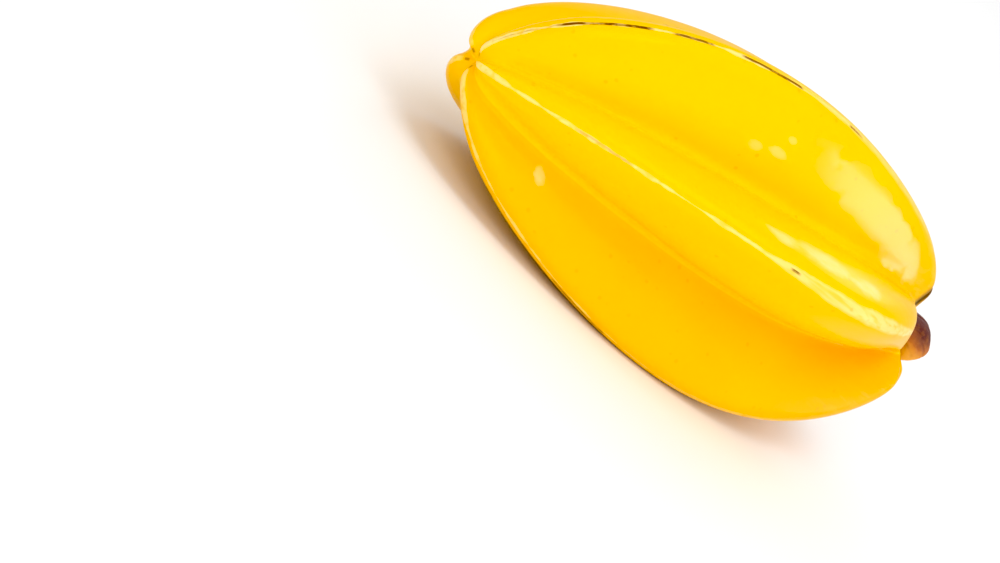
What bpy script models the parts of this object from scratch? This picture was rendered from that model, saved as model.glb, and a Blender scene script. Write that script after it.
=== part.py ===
"""Star fruit (carambola), whole and ripe, with its calyx and the stub of its stalk.

The fruit lies on two of its five ridges, its long axis along X, with the blossom
end at -X and the stalk end at +X. Z = 0 is the surface that it rests on, and the
origin is the middle of the model's footprint. Lengths are metres, angles degrees.
"""
import math

import bmesh
import bpy
import numpy as np
from mathutils import Matrix, Vector

# Driving dimensions
LENGTH = 0.110              # pole to pole along the axis, before the end hollows
RIDGE_HEIGHT = 0.0328       # axis to crest of a full ridge, at mid-length
STEM_FULLNESS = 0.133       # how much higher the ridges are towards the stalk end
BLOSSOM_BLUNTNESS = 0.95    # power of the profile in the blossom half; 1 is an ellipse
STEM_BLUNTNESS = 1.14       # the same for the stalk half
BLOSSOM_HOLLOW = 0.0021     # depth of the dimple at the blossom end
BLOSSOM_HOLLOW_WIDTH = 0.0022
STEM_HOLLOW = 0.0034        # depth of the wide hollow between the stalk shoulders
STEM_HOLLOW_WIDTH = 0.0083
STEM_HOLLOW_FLOOR = 0.0050  # radius of the level middle of that hollow
STEM_WELL = 0.0048          # depth of the well inside it that holds the stalk
STEM_WELL_WIDTH = 0.0022
STEM_WELL_FLOOR = 0.0060    # radius of the level bottom of the well
END_TAPER = 0.0150          # a ridge takes on its own height within this radius of a pole
SHOULDER_START = 0.0060     # a ridge's own reach sets in between these radii
SHOULDER_FULL = 0.0100

# Section of the fruit
GROOVE_FADE = 0.0060        # the grooves run out within this radius of a pole
GROOVE_DROP = 4.0           # how suddenly the grooves run down into the end hollows
CREST_SETBACK = 0.0036      # rounding of the crests, measured along a flank
CREST_SETBACK_SHARE = 0.36  # but never more of the flank than this
GROOVE_SETBACK = 0.0041     # rounding of the grooves, measured along a flank
GROOVE_SETBACK_SHARE = 0.44
FLANK_BULGE = 0.13          # how far a flank swells, as a share of its width

# The centre line bows upwards, sways once from end to end and turns at the stalk end.
BOW = 0.0028
BOW_ANGLE = 161
SWAY = 0.0022
SWAY_ANGLE = 305
TAIL = 0.0043               # the stalk end turns off the axis
TAIL_ANGLE = 204
TAIL_POWER = 8              # how close to the end it does so

# Ridges, counter-clockwise seen from the stalk end. Angle from +Y, height as a share
# of RIDGE_HEIGHT, how much fuller it is at the blossom half, and how far its stalk
# shoulder reaches past (or stops short of) the common length.
RIDGES = (
    (17.7, 0.983, -0.129, 0.0009),  # upper back
    (103.6, 0.913, 0.355, 0.0003),  # top
    (158.0, 1.006, -0.137, -0.0104),  # front
    (218.3, 1.016, 0.035, 0.0015),  # lower front, rests on the surface
    (308.0, 0.997, -0.011, 0.0020),  # lower back, rests on the surface
)
# Grooves, each between a ridge and the next: depth as a share of the crest height,
# how far it stands off the middle of the two crests, and how far it rises beside the stalk.
GROOVES = (
    (0.44, 2.4, 0.0),
    (0.492, 6.9, 0.0),
    (0.498, 9.2, 0.0045),
    (0.492, 3.9, 0.0),
    (0.506, 1.0, 0.0),
)
RISE_RADIUS = 0.0078        # where beside the stalk a groove rises
RISE_WIDTH = 0.0018

# Resting pose, as the fruit settles on its two lower ridges, and how far their
# crests are pressed flat there.
REST_ROLL = 6.0
REST_PITCH = -7.8           # the stalk end is higher
FLAT_DEPTH = 0.00022

# Stalk stub and calyx
GAP = 0.0003                # clearance between neighbouring pieces
SEAT_SHIFT = 0.0006         # the stalk sits off the middle of the well
SEAT_SHIFT_ANGLE = 250
STUB_LENGTH = 0.0070
STUB_RADIUS = 0.0047        # at the swelling below the cut end
STUB_FOOT_RADIUS = 0.0034
STUB_ROUNDING = 0.0005      # edge of the foot
STUB_RIM = 0.0011           # rounding of the rim of the cut end
STUB_DISH = 0.0005          # how far the cut face is sunken
STUB_COLLAR = 0.0008        # straight part inside the calyx
STUB_BEND = 0.0041          # the stub bends over this length above that
STUB_LEAN = 56              # to lean this far off the axis
STUB_LEAN_ANGLE = 283       # towards this side
STUB_UNDERSIDE = 0.4        # share of the swelling that is missing on that side
STUB_LOBING = 0.020         # five faint ribs round the stub
CALYX_REACH = 0.0049        # tips of the sepals, from the axis
CALYX_RING = 0.0043         # where the sepals part from one another
CALYX_THICKNESS = 0.0005
CALYX_TIP_THINNING = 0.5    # how much thinner the tips are
CALYX_SAG = 0.0003          # how far the tips bend down into the grooves
CALYX_ANGLE = 58            # a sepal at this angle, so that all lie near the grooves
SEPALS = 5
SEPAL_BLUNTNESS = 0.6       # power of a sepal's outline; smaller is blunter

# Facets
RINGS = 50
RING_CROWDING = 0.62        # how much closer the rings lie at the ends
CREST_STEPS = 4
FLANK_STEPS = 3
GROOVE_STEPS = 3
STUB_SIDES = 40
STUB_WALL_STEPS = 6
STUB_RIM_STEPS = 3
CALYX_SIDES = 60
CALYX_STEPS = 3
SHARP_EDGE = 50             # edges bent more than this aren't shaded smooth

# Colours, roughness of the materials
FRUIT_COLOUR = (1.0, 0.60, 0.02, 1.0)
FRUIT_ROUGHNESS = 0.35
STUB_COLOUR = (0.30, 0.11, 0.035, 1.0)
STUB_ROUGHNESS = 0.6
CALYX_COLOUR = (0.42, 0.19, 0.04, 1.0)
CALYX_ROUGHNESS = 0.65


def direction(angle):
    """Unit vector across the axis, at an angle from +Y towards +Z."""
    return np.array([0.0, math.cos(math.radians(angle)), math.sin(math.radians(angle))])


def stations(count):
    """Angles from pole to pole, closer together near the two ends."""
    share = np.linspace(0.0, 1.0, count)
    return math.pi * (share - RING_CROWDING * np.sin(2 * math.pi * share) / (2 * math.pi))


def hollow(radius, depth, width, floor):
    """Depth of an end hollow at a distance from the axis."""
    return depth * np.exp(-((np.maximum(radius - floor, 0.0) / width) ** 2))


def centre_line(phi):
    """Middle of the fruit's section at each station."""
    bow = np.sin(phi) ** 2
    sway = -np.sin(2 * phi) * np.sin(phi)
    tail = np.maximum(-np.cos(phi), 0.0) ** TAIL_POWER
    return (np.outer(bow, BOW * direction(BOW_ANGLE))
            + np.outer(sway, SWAY * direction(SWAY_ANGLE))
            + np.outer(tail, TAIL * direction(TAIL_ANGLE)))


def plain_radius(phi):
    """Crest radius of a full ridge: about half an ellipse, fuller towards the stalk."""
    power = np.where(np.cos(phi) > 0, BLOSSOM_BLUNTNESS, STEM_BLUNTNESS)
    return RIDGE_HEIGHT * np.sin(phi) ** power * (1 - STEM_FULLNESS * np.cos(phi))


def crest_line(phi, ridge):
    """Crest of one ridge from the blossom pole to the stalk pole."""
    angle, height, lean, reach = ridge
    radius = plain_radius(phi)
    taper = np.minimum(radius / END_TAPER, 1.0)
    own = radius * (1 + (height - 1) * taper) * (1 + lean * np.cos(phi) * taper)
    along = -0.5 * LENGTH * np.cos(phi)
    along += hollow(own, BLOSSOM_HOLLOW, BLOSSOM_HOLLOW_WIDTH, 0.0) * (np.cos(phi) > 0)
    stem_half = np.cos(phi) <= 0
    along -= hollow(own, STEM_HOLLOW, STEM_HOLLOW_WIDTH, STEM_HOLLOW_FLOOR) * stem_half
    along -= hollow(own, STEM_WELL, STEM_WELL_WIDTH, STEM_WELL_FLOOR) * stem_half
    onset = np.clip((radius - SHOULDER_START) / (SHOULDER_FULL - SHOULDER_START), 0.0, 1.0)
    along += reach * np.clip(-np.cos(phi), 0.0, 1.0) * onset
    line = centre_line(phi) + np.outer(own, direction(angle))
    line[:, 0] += along
    return line


def groove_line(phi, groove, ridge, following):
    """Bottom of the groove between two neighbouring ridges."""
    depth, offset, rise = groove
    gap = (following[0] - ridge[0]) % 360
    angle = ridge[0] + 0.5 * gap + offset
    radius = plain_radius(phi)
    fade = np.exp(-((radius / GROOVE_FADE) ** 2))
    own = radius * (depth + (1 - depth) * fade)
    end = np.abs(np.cos(phi))
    depth_here = np.where(np.cos(phi) > 0, BLOSSOM_HOLLOW, STEM_HOLLOW + STEM_WELL)
    drop = depth_here * end ** GROOVE_DROP
    line = centre_line(phi) + np.outer(own, direction(angle))
    line[:, 0] += -np.sign(np.cos(phi)) * (0.5 * LENGTH * end - drop)
    beside_stalk = np.exp(-(((own - RISE_RADIUS) / RISE_WIDTH) ** 2)) * (np.cos(phi) < 0)
    line[:, 0] += rise * beside_stalk
    return line


def flank_points(crest, groove, shares):
    """Points along a flank that swells a little between its crest and its groove."""
    across = groove - crest
    width = np.linalg.norm(across[:, 1:], axis=1)
    outward = np.stack([0 * width, -across[:, 2], across[:, 1]], axis=1)
    outward /= np.maximum(width, 1e-9)[:, None]
    outward *= np.sign(np.sum(outward * (crest + groove), axis=1))[:, None]
    swell = 4 * FLANK_BULGE * shares * (1 - shares) * width[:, None]
    return crest[:, None] + shares[..., None] * across[:, None] + swell[..., None] * outward[:, None]


def flank(crest, groove, steps):
    """A flank between its two rounded corners, and the handles of those corners."""
    width = np.maximum(np.linalg.norm(groove - crest, axis=1), 1e-6)
    first = np.minimum(CREST_SETBACK / width, CREST_SETBACK_SHARE)
    last = 1 - np.minimum(GROOVE_SETBACK / width, GROOVE_SETBACK_SHARE)
    shares = first[:, None] + (last - first)[:, None] * np.linspace(0.0, 1.0, steps + 1)[None, :]
    points = flank_points(crest, groove, shares)
    nudge = 0.01
    beyond = flank_points(crest, groove, np.stack([first - nudge, last + nudge], axis=1))
    crest_reach = (first * 2 / 3 / nudge)[:, None]
    groove_reach = ((1 - last) * 2 / 3 / nudge)[:, None]
    crest_handle = points[:, 0] + (beyond[:, 0] - points[:, 0]) * crest_reach
    groove_handle = points[:, -1] + (beyond[:, 1] - points[:, -1]) * groove_reach
    return points, crest_handle, groove_handle


def bend(start, start_handle, end_handle, end, steps):
    """Cubic curve that rounds a corner, without its two ends."""
    t = (np.arange(1, steps) / steps)[None, :, None]
    return ((1 - t) ** 3 * start[:, None] + 3 * t * (1 - t) ** 2 * start_handle[:, None]
            + 3 * t ** 2 * (1 - t) * end_handle[:, None] + t ** 3 * end[:, None])


def lifted(crest, groove_before, groove_after):
    """Corner of a ridge, moved out until its rounded crest lies on the crest line."""
    corner = crest
    for _ in range(3):
        left = flank(corner, groove_before, 1)
        right = flank(corner, groove_after, 1)
        rounded = 0.125 * (left[0][:, 0] + right[0][:, 0]) + 0.375 * (left[1] + right[1])
        corner = corner + (crest - rounded)
    return corner


def skin(rings, crest_steps, flank_steps, groove_steps):
    """Grid of skin points: rings from end to end, and points round each ring."""
    phi = stations(rings)[1:-1]
    count = len(RIDGES)
    grooves = [groove_line(phi, GROOVES[i], RIDGES[i], RIDGES[(i + 1) % count]) for i in range(count)]
    corners = [lifted(crest_line(phi, RIDGES[i]), grooves[i - 1], grooves[i]) for i in range(count)]
    around = []
    for i in range(count):
        left = flank(corners[i], grooves[i - 1], flank_steps)
        right = flank(corners[i], grooves[i], flank_steps)
        following = flank(corners[(i + 1) % count], grooves[i], flank_steps)
        around.append(left[0][:, ::-1])
        around.append(bend(left[0][:, 0], left[1], right[1], right[0][:, 0], crest_steps))
        around.append(right[0])
        around.append(bend(right[0][:, -1], right[2], following[2], following[0][:, -1], groove_steps))
    return np.concatenate(around, axis=1)


def poles():
    """Ends of the axis: bottom of the blossom dimple and middle of the stalk's seat."""
    first = np.array([-0.5 * LENGTH + BLOSSOM_HOLLOW, 0.0, 0.0])
    last = np.array([0.5 * LENGTH - STEM_HOLLOW - STEM_WELL, 0.0, 0.0])
    return first, last + TAIL * direction(TAIL_ANGLE)


def capped_mesh(grid, first, last):
    """Closed form through a grid of rings, drawn to a point at each end."""
    form = bmesh.new()
    rows = [[form.verts.new(point) for point in ring] for ring in grid]
    count = len(rows[0])
    start, finish = form.verts.new(first), form.verts.new(last)
    for i in range(count):
        j = (i + 1) % count
        form.faces.new((start, rows[0][j], rows[0][i]))
        form.faces.new((finish, rows[-1][i], rows[-1][j]))
        for low, high in zip(rows, rows[1:]):
            form.faces.new((low[i], low[j], high[j], high[i]))
    bmesh.ops.recalc_face_normals(form, faces=form.faces)
    return form


def press_flat(form):
    """Cuts the form level at the resting surface and closes the cuts."""
    everything = form.verts[:] + form.edges[:] + form.faces[:]
    bmesh.ops.bisect_plane(form, geom=everything, dist=1e-6, plane_co=(0, 0, 0),
                           plane_no=(0, 0, -1), clear_outer=True)
    rims = [edge for edge in form.edges if edge.is_boundary]
    bmesh.ops.holes_fill(form, edges=rims, sides=0)
    bmesh.ops.recalc_face_normals(form, faces=form.faces)


def stub_middle(along):
    """Centre of the stub at a distance along it, and how far it leans there."""
    lean = math.radians(STUB_LEAN)
    radius = STUB_BEND / lean
    beyond = max(along - STUB_COLLAR, 0.0)
    bent = min(beyond / STUB_BEND, 1.0) * lean
    straight = max(beyond - STUB_BEND, 0.0)
    centre = np.array([min(along, STUB_COLLAR) + radius * math.sin(bent) + straight * math.cos(lean),
                       radius * (1 - math.cos(bent)) + straight * math.sin(lean), 0.0])
    return centre, bent


def stub_grid():
    """Rings of the stalk stub, foot at zero: a straight collar, a swelling that bends
    towards +Y, and a cut end with a rounded rim and a slightly sunken face."""
    swelling = STUB_RADIUS - STUB_FOOT_RADIUS
    profile = [(0.0, STUB_FOOT_RADIUS - STUB_ROUNDING), (STUB_ROUNDING, STUB_FOOT_RADIUS)]
    for k in range(STUB_WALL_STEPS + 1):
        share = k / STUB_WALL_STEPS
        along = STUB_COLLAR + share * (STUB_LENGTH - STUB_COLLAR - STUB_RIM)
        profile.append((along, STUB_FOOT_RADIUS + swelling * math.sin(0.5 * math.pi * share) ** 2))
    for k in range(1, STUB_RIM_STEPS + 1):
        turn = 0.5 * math.pi * k / STUB_RIM_STEPS
        along = STUB_LENGTH - STUB_RIM * (1 - math.sin(turn))
        profile.append((along, STUB_RADIUS - STUB_RIM * (1 - math.cos(turn))))
    profile.append((STUB_LENGTH - STUB_DISH, 0.5 * (STUB_RADIUS - STUB_RIM)))
    rings = []
    for along, radius in profile:
        centre, bent = stub_middle(along)
        ring = []
        for k in range(STUB_SIDES):
            angle = 2 * math.pi * k / STUB_SIDES
            missing = STUB_UNDERSIDE * max(radius - STUB_FOOT_RADIUS, 0.0) * (0.5 + 0.5 * math.cos(angle))
            own = (radius - missing) * (1 - STUB_LOBING * (1 - math.cos(SEPALS * angle)))
            across = own * math.cos(angle)
            ring.append(centre + np.array([-across * math.sin(bent), across * math.cos(bent),
                                           own * math.sin(angle)]))
        rings.append(ring)
    return rings


def calyx_form():
    """Collar round the foot of the stub whose rim runs out into five blunt sepals,
    one in the mouth of each groove."""
    form = bmesh.new()
    inner = STUB_FOOT_RADIUS + GAP
    loops = []
    for k in range(CALYX_SIDES):
        angle = 2 * math.pi * k / CALYX_SIDES
        lobe = (0.5 + 0.5 * math.cos(SEPALS * angle)) ** SEPAL_BLUNTNESS
        outer = CALYX_RING + (CALYX_REACH - CALYX_RING) * lobe
        loop = []
        for side, height in ((1, 0.0), (-1, CALYX_THICKNESS)):
            for step in range(CALYX_STEPS + 1)[::side]:
                share = step / CALYX_STEPS
                radius = inner + (outer - inner) * share
                sag = CALYX_SAG * ((radius - inner) / (CALYX_REACH - inner)) ** 2
                taper = 1 - CALYX_TIP_THINNING * share ** 2
                loop.append(form.verts.new((height * taper - sag, radius * math.cos(angle),
                                            radius * math.sin(angle))))
        loops.append(loop)
    for k in range(CALYX_SIDES):
        here, there = loops[k], loops[(k + 1) % CALYX_SIDES]
        for i in range(len(here)):
            j = (i + 1) % len(here)
            form.faces.new((here[i], here[j], there[j], there[i]))
    bmesh.ops.recalc_face_normals(form, faces=form.faces)
    return form


def seat_frame(angle):
    """Puts a piece made about +X on the stalk's seat, its +Y side at an angle."""
    _, seat = poles()
    seat = seat + SEAT_SHIFT * direction(SEAT_SHIFT_ANGLE)
    foot = Matrix.Translation(Vector(seat) + Vector((GAP, 0, 0)))
    return foot @ Matrix.Rotation(math.radians(angle), 4, 'X')


def rest_turn():
    """Turns the fruit from its own axis to the way it lies."""
    return (Matrix.Rotation(math.radians(REST_PITCH), 4, 'Y')
            @ Matrix.Rotation(math.radians(REST_ROLL), 4, 'X'))


def rest_shift(forms):
    """Centres the turned forms over the origin and sinks them by the flats' depth."""
    places = [vert.co for form in forms for vert in form.verts]
    low = [min(place[axis] for place in places) for axis in range(3)]
    high = [max(place[axis] for place in places) for axis in range(3)]
    return Matrix.Translation((-0.5 * (low[0] + high[0]), -0.5 * (low[1] + high[1]),
                               -low[2] - FLAT_DEPTH))


def add_piece(name, form, colour, roughness, parent):
    """Makes a named object with its own material from a form."""
    mesh = bpy.data.meshes.new(name)
    form.to_mesh(mesh)
    form.free()
    mesh.shade_smooth()
    mesh.set_sharp_from_angle(angle=math.radians(SHARP_EDGE))
    material = bpy.data.materials.new(name)
    material.use_nodes = True
    shader = material.node_tree.nodes["Principled BSDF"]
    shader.inputs["Base Color"].default_value = colour
    shader.inputs["Roughness"].default_value = roughness
    shader.inputs["Metallic"].default_value = 0.0
    mesh.materials.append(material)
    piece = bpy.data.objects.new(name, mesh)
    piece.parent = parent
    bpy.context.scene.collection.objects.link(piece)


def main():
    for item in list(bpy.data.objects):
        bpy.data.objects.remove(item)

    first, last = poles()
    grid = skin(RINGS, CREST_STEPS, FLANK_STEPS, GROOVE_STEPS)
    fruit = capped_mesh(grid, first, last)
    stub = capped_mesh(stub_grid(), (0, 0, 0), stub_middle(STUB_LENGTH - STUB_DISH)[0])
    calyx = calyx_form()

    stub.transform(seat_frame(STUB_LEAN_ANGLE))
    calyx.transform(seat_frame(CALYX_ANGLE))

    forms = (fruit, stub, calyx)
    for form in forms:
        form.transform(rest_turn())
    shift = rest_shift(forms)
    for form in forms:
        form.transform(shift)
    press_flat(fruit)

    holder = bpy.data.objects.new("star_fruit", None)
    bpy.context.scene.collection.objects.link(holder)
    add_piece("fruit", fruit, FRUIT_COLOUR, FRUIT_ROUGHNESS, holder)
    add_piece("stem_stub", stub, STUB_COLOUR, STUB_ROUGHNESS, holder)
    add_piece("calyx", calyx, CALYX_COLOUR, CALYX_ROUGHNESS, holder)


if __name__ == "__main__":
    main()
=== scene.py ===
"""Star fruit: a whole ripe carambola with its calyx and the stub of its stalk.

Laid out as an add-on. Each operator makes one piece, and the panel lists them in
the order in which they are made. Lengths are metres and angles degrees, except that
the settings hold their angles in radians.
"""

import math

import bpy
import numpy as np
from bpy.props import FloatProperty, FloatVectorProperty, IntProperty, PointerProperty
from mathutils import Matrix, Vector, noise


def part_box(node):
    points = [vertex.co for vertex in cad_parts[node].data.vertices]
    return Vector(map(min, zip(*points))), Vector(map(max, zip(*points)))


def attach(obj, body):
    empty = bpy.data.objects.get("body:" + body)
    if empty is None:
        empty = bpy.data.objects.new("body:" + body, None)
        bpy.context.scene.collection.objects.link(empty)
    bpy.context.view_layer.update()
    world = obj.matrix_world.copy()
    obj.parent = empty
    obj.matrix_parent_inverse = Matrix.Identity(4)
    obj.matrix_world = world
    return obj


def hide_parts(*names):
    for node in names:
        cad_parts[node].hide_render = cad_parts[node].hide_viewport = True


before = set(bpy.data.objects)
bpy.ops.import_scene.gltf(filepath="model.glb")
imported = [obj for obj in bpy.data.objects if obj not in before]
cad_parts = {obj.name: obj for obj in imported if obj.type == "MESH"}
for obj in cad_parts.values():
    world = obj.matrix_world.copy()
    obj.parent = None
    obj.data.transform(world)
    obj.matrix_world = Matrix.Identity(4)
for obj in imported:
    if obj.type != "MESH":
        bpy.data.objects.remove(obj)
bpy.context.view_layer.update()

bl_info = {
    "name": "Star Fruit",
    "version": (1, 0, 0),
    "blender": (4, 5, 0),
    "location": "3D View > Sidebar > Star Fruit",
    "description": "Makes a whole star fruit with its calyx, stalk stub and a plain studio",
    "category": "Add Mesh",
}

# Ridges, counter-clockwise seen from the stalk end. Angle from +Y, height as a share
# of the full ridge height, how much fuller it is in the blossom half, and how far its
# stalk shoulder reaches past (or stops short of) the common length.
RIDGES = (
    (17.7, 0.983, -0.129, 0.0009),  # upper back
    (103.6, 0.913, 0.355, 0.0003),  # top
    (158.0, 1.006, -0.137, -0.0104),  # front
    (218.3, 1.016, 0.035, 0.0015),  # lower front, rests on the surface
    (308.0, 0.997, -0.011, 0.0020),  # lower back, rests on the surface
)
# Grooves, each between a ridge and the next: depth as a share of the crest height,
# how far it stands off the middle of the two crests, and how far it rises beside the stalk.
GROOVES = (
    (0.44, 2.4, 0.0),
    (0.492, 6.9, 0.0),
    (0.498, 9.2, 0.0045),
    (0.492, 3.9, 0.0),
    (0.506, 1.0, 0.0),
)
UPPER_BACK, TOP, FRONT, LOWER_FRONT, LOWER_BACK = range(5)

# Ends and axis of the fruit, the same as its solid's
BLOSSOM_HOLLOW_WIDTH = 0.0022
STEM_HOLLOW_WIDTH = 0.0083
STEM_HOLLOW_FLOOR = 0.0050  # radius of the level middle of the hollow
STEM_WELL_WIDTH = 0.0022
STEM_WELL_FLOOR = 0.0060
END_TAPER = 0.015           # a ridge takes on its own height within this radius of a pole
SHOULDER_START = 0.0060     # a ridge's own reach sets in between these radii
SHOULDER_FULL = 0.0100
GROOVE_FADE = 0.0060        # the grooves run out within this radius of a pole
GROOVE_DROP = 4             # how suddenly the grooves run down into the end hollows
RISE_RADIUS = 0.0078        # where beside the stalk a groove rises
RISE_WIDTH = 0.0018
CREST_SHARE = 0.36          # a rounding takes no more of a flank than this
GROOVE_SHARE = 0.44
BOW_ANGLE = 161             # sides towards which the axis bows, sways and turns off
SWAY_ANGLE = 305
TAIL_ANGLE = 204
TAIL_POWER = 8              # how close to the end the axis turns
SEAT_SHIFT = 0.0006         # the stalk sits off the middle of the well
SEAT_SHIFT_ANGLE = 250
GAP = 0.0003                # clearance between neighbouring pieces
SKIN_INSET = 0.00006        # the skin is pressed in by this where it has no dent

# Steps of the skin's mesh across a crest, a flank and a groove
CREST_STEPS = 12
FLANK_STEPS = 12
GROOVE_STEPS = 8

# Where the crests are rubbed brown: ridge, start and end along the fruit as a share of
# its length, distance from the crest line, width of the line, and strength.
BRUISED_CRESTS = (
    (TOP, 0.006, 0.050, 0.0, 0.00012, 0.5),
    (TOP, 0.050, 0.150, 0.0, 0.00034, 1.0),
    (TOP, 0.180, 0.240, 0.0, 0.00030, 0.9),
    (TOP, 0.290, 0.410, 0.0, 0.00036, 0.9),
    (TOP, 0.530, 0.565, 0.0, 0.00035, 0.8),
    (FRONT, 0.120, 0.200, 0.0, 0.00012, 0.5),
    (FRONT, 0.484, 0.500, 0.0, 0.00020, 0.9),
    (LOWER_FRONT, 0.100, 0.115, 0.0017, 0.00035, 0.9),
    (LOWER_FRONT, 0.250, 0.370, 0.0006, 0.00050, 0.9),
    (LOWER_BACK, 0.180, 0.250, 0.0, 0.00040, 0.9),
    (LOWER_BACK, 0.560, 0.690, 0.0004, 0.00045, 0.8),
    (UPPER_BACK, 0.300, 0.430, 0.0, 0.00042, 0.9),
    (UPPER_BACK, 0.620, 0.650, 0.0, 0.00040, 0.8),
)

# Where the wax has been polished: ridge, middle along the fruit as a share of its
# length, middle off the crest line, half length as a share, half width, shine, how far
# the skin's colour is lightened there as a painted highlight, and how softly its edge fades.
POLISHED_PATCHES = (
    (TOP, 0.665, 0.0076, 0.175, 0.0042, 1.0, 0.0, 0.35),
    (TOP, 0.390, 0.0130, 0.014, 0.0009, 0.8, 0.30, 1.6),
    (TOP, 0.433, 0.0117, 0.018, 0.0009, 0.8, 0.30, 1.6),
    (TOP, 0.440, 0.0085, 0.009, 0.0006, 0.8, 0.25, 1.6),
    (FRONT, 0.465, -0.0052, 0.026, 0.0013, 0.30, 0.36, 2.0),
    (FRONT, 0.560, -0.0064, 0.054, 0.0020, 0.30, 0.36, 2.0),
    (FRONT, 0.685, -0.0058, 0.036, 0.0016, 0.30, 0.36, 2.0),
    (FRONT, 0.690, 0.0000, 0.220, 0.0026, 0.20, 0.0, 1.4),
    (LOWER_FRONT, 0.146, -0.0094, 0.010, 0.0015, 1.0, 0.50, 1.4),
    (LOWER_BACK, 0.400, 0.0070, 0.130, 0.0036, 1.0, 0.0, 0.35),
    (LOWER_BACK, 0.620, -0.0090, 0.080, 0.0030, 0.9, 0.0, 0.35),
    (UPPER_BACK, 0.560, -0.0080, 0.150, 0.0040, 1.0, 0.0, 0.35),
    (UPPER_BACK, 0.350, 0.0090, 0.060, 0.0020, 0.9, 0.0, 0.8),
)
LONG_PATCH = 0.1            # patches with a longer half length have coarser edges

# For each ridge: how much deeper its skin is (painted shade on the two lower ridges and the
# upper back ridge), and how pale its crest is in the blossom half and in the stalk half
# (partly the crest's own pale colour and partly painted highlights).
RIDGE_TONES = (
    (0.25, 0.45, 0.35),  # upper back
    (0.00, 0.90, 0.40),  # top
    (0.00, 0.80, 0.72),  # front
    (0.45, 0.70, 0.25),  # lower front
    (0.40, 0.50, 0.35),  # lower back
)

# Stub of the stalk and calyx
STUB_ROUNDING = 0.0005      # edge of the foot
STUB_RIM = 0.0011           # rounding of the rim of the cut end
STUB_DISH = 0.0005          # how far the cut face is sunken
STUB_COLLAR = 0.0008        # straight part inside the calyx
STUB_BEND = 0.0041          # the stub bends over this length above that
STUB_UNDERSIDE = 0.4        # share of the swelling that is missing on the side it leans to
STUB_LOBING = 0.020         # five faint ribs round the stub
FURROW_DEPTH = 0.00028      # in the bark
CRACK_DEPTH = 0.00016       # in the cut face
CALYX_RING = 0.0043         # where the sepals part from one another
CALYX_THICKNESS = 0.0005
CALYX_TIP_THINNING = 0.5    # how much thinner the tips are
CALYX_SAG = 0.0003          # how far the tips bend down into the grooves
CALYX_ANGLE = 58            # a sepal at this angle, so that all lie near the grooves
SEPALS = 5
SEPAL_BLUNTNESS = 0.6       # power of a sepal's outline; smaller is blunter

# Soft lights: name, azimuth, elevation, distance, width, height, and the setting that
# holds the power.
LIGHTS = (
    ("key", -128, 21, 1.2, 0.7, 0.7, "key_power"),
    ("top", -100, 73, 1.2, 0.7, 0.7, "top_power"),
    ("window", -25, 7, 0.36, 0.18, 0.14, "side_power"),
    ("behind", 44, 36, 0.5, 0.16, 0.22, "back_power"),
)
LIT_PLACE = (0.0, 0.0, 0.025)  # the lights are aimed here


def metres(name, default, description):
    """Setting for a length."""
    return FloatProperty(name=name, default=default, description=description, unit="LENGTH")


def degrees(name, default, description):
    """Setting for an angle, given in degrees and held in radians."""
    return FloatProperty(name=name, default=math.radians(default), description=description,
                         subtype="ANGLE")


def watts(name, default, description):
    """Setting for the power of a light."""
    return FloatProperty(name=name, default=default, description=description, unit="POWER")


def plain(name, default, description):
    """Setting for a plain number."""
    return FloatProperty(name=name, default=default, description=description)


def whole(name, default, description):
    """Setting for a whole number."""
    return IntProperty(name=name, default=default, description=description)


def tint(name, default, description):
    """Setting for a colour."""
    return FloatVectorProperty(name=name, default=default, description=description,
                               subtype="COLOR")


def place_of(name, default, description):
    """Setting for a place."""
    return FloatVectorProperty(name=name, default=default, description=description,
                               subtype="TRANSLATION")


class FruitSettings(bpy.types.PropertyGroup):
    """Sizes of the fruit."""

    length: metres("Length", 0.110, "Pole to pole, before the end hollows")
    ridge_height: metres("Ridge Height", 0.0328, "Axis to crest of a full ridge")
    stem_fullness: plain("Stem Fullness", 0.133,
                         "How much higher the ridges are towards the stalk end")
    blossom_bluntness: plain("Blossom Bluntness", 0.95, "Power of the profile in the blossom half")
    stem_bluntness: plain("Stem Bluntness", 1.14, "Power of the profile in the stalk half")
    blossom_hollow: metres("Blossom Dimple", 0.0021, "Depth of the dimple")
    stem_hollow: metres("Stem Hollow", 0.0034, "Depth of the wide hollow")
    stem_well: metres("Stem Well", 0.0048, "Depth of the well that holds the stalk")
    crest_rounding: metres("Crest Rounding", 0.0036, "Measured along a flank")
    groove_rounding: metres("Groove Rounding", 0.0030, "Measured along a flank")
    flank_bulge: plain("Flank Bulge", 0.13, "Swelling as a share of the width")
    bow: metres("Bow", 0.0028, "How far the axis bows")
    sway: metres("Sway", 0.0022, "How far the axis sways")
    tail: metres("Tail", 0.0043, "How far the stalk end turns off the axis")
    roll: degrees("Roll", 6.0, "Turn about the long axis as it lies")
    pitch: degrees("Pitch", -7.8, "Tilt of the long axis as it lies")
    dents: metres("Dents", 0.00045, "Depth of the soft dents in the flanks")
    dent_size: metres("Dent Size", 0.015, "Distance between soft dents")
    rings: whole("Rings", 400, "Rings of the mesh from end to end")


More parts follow.
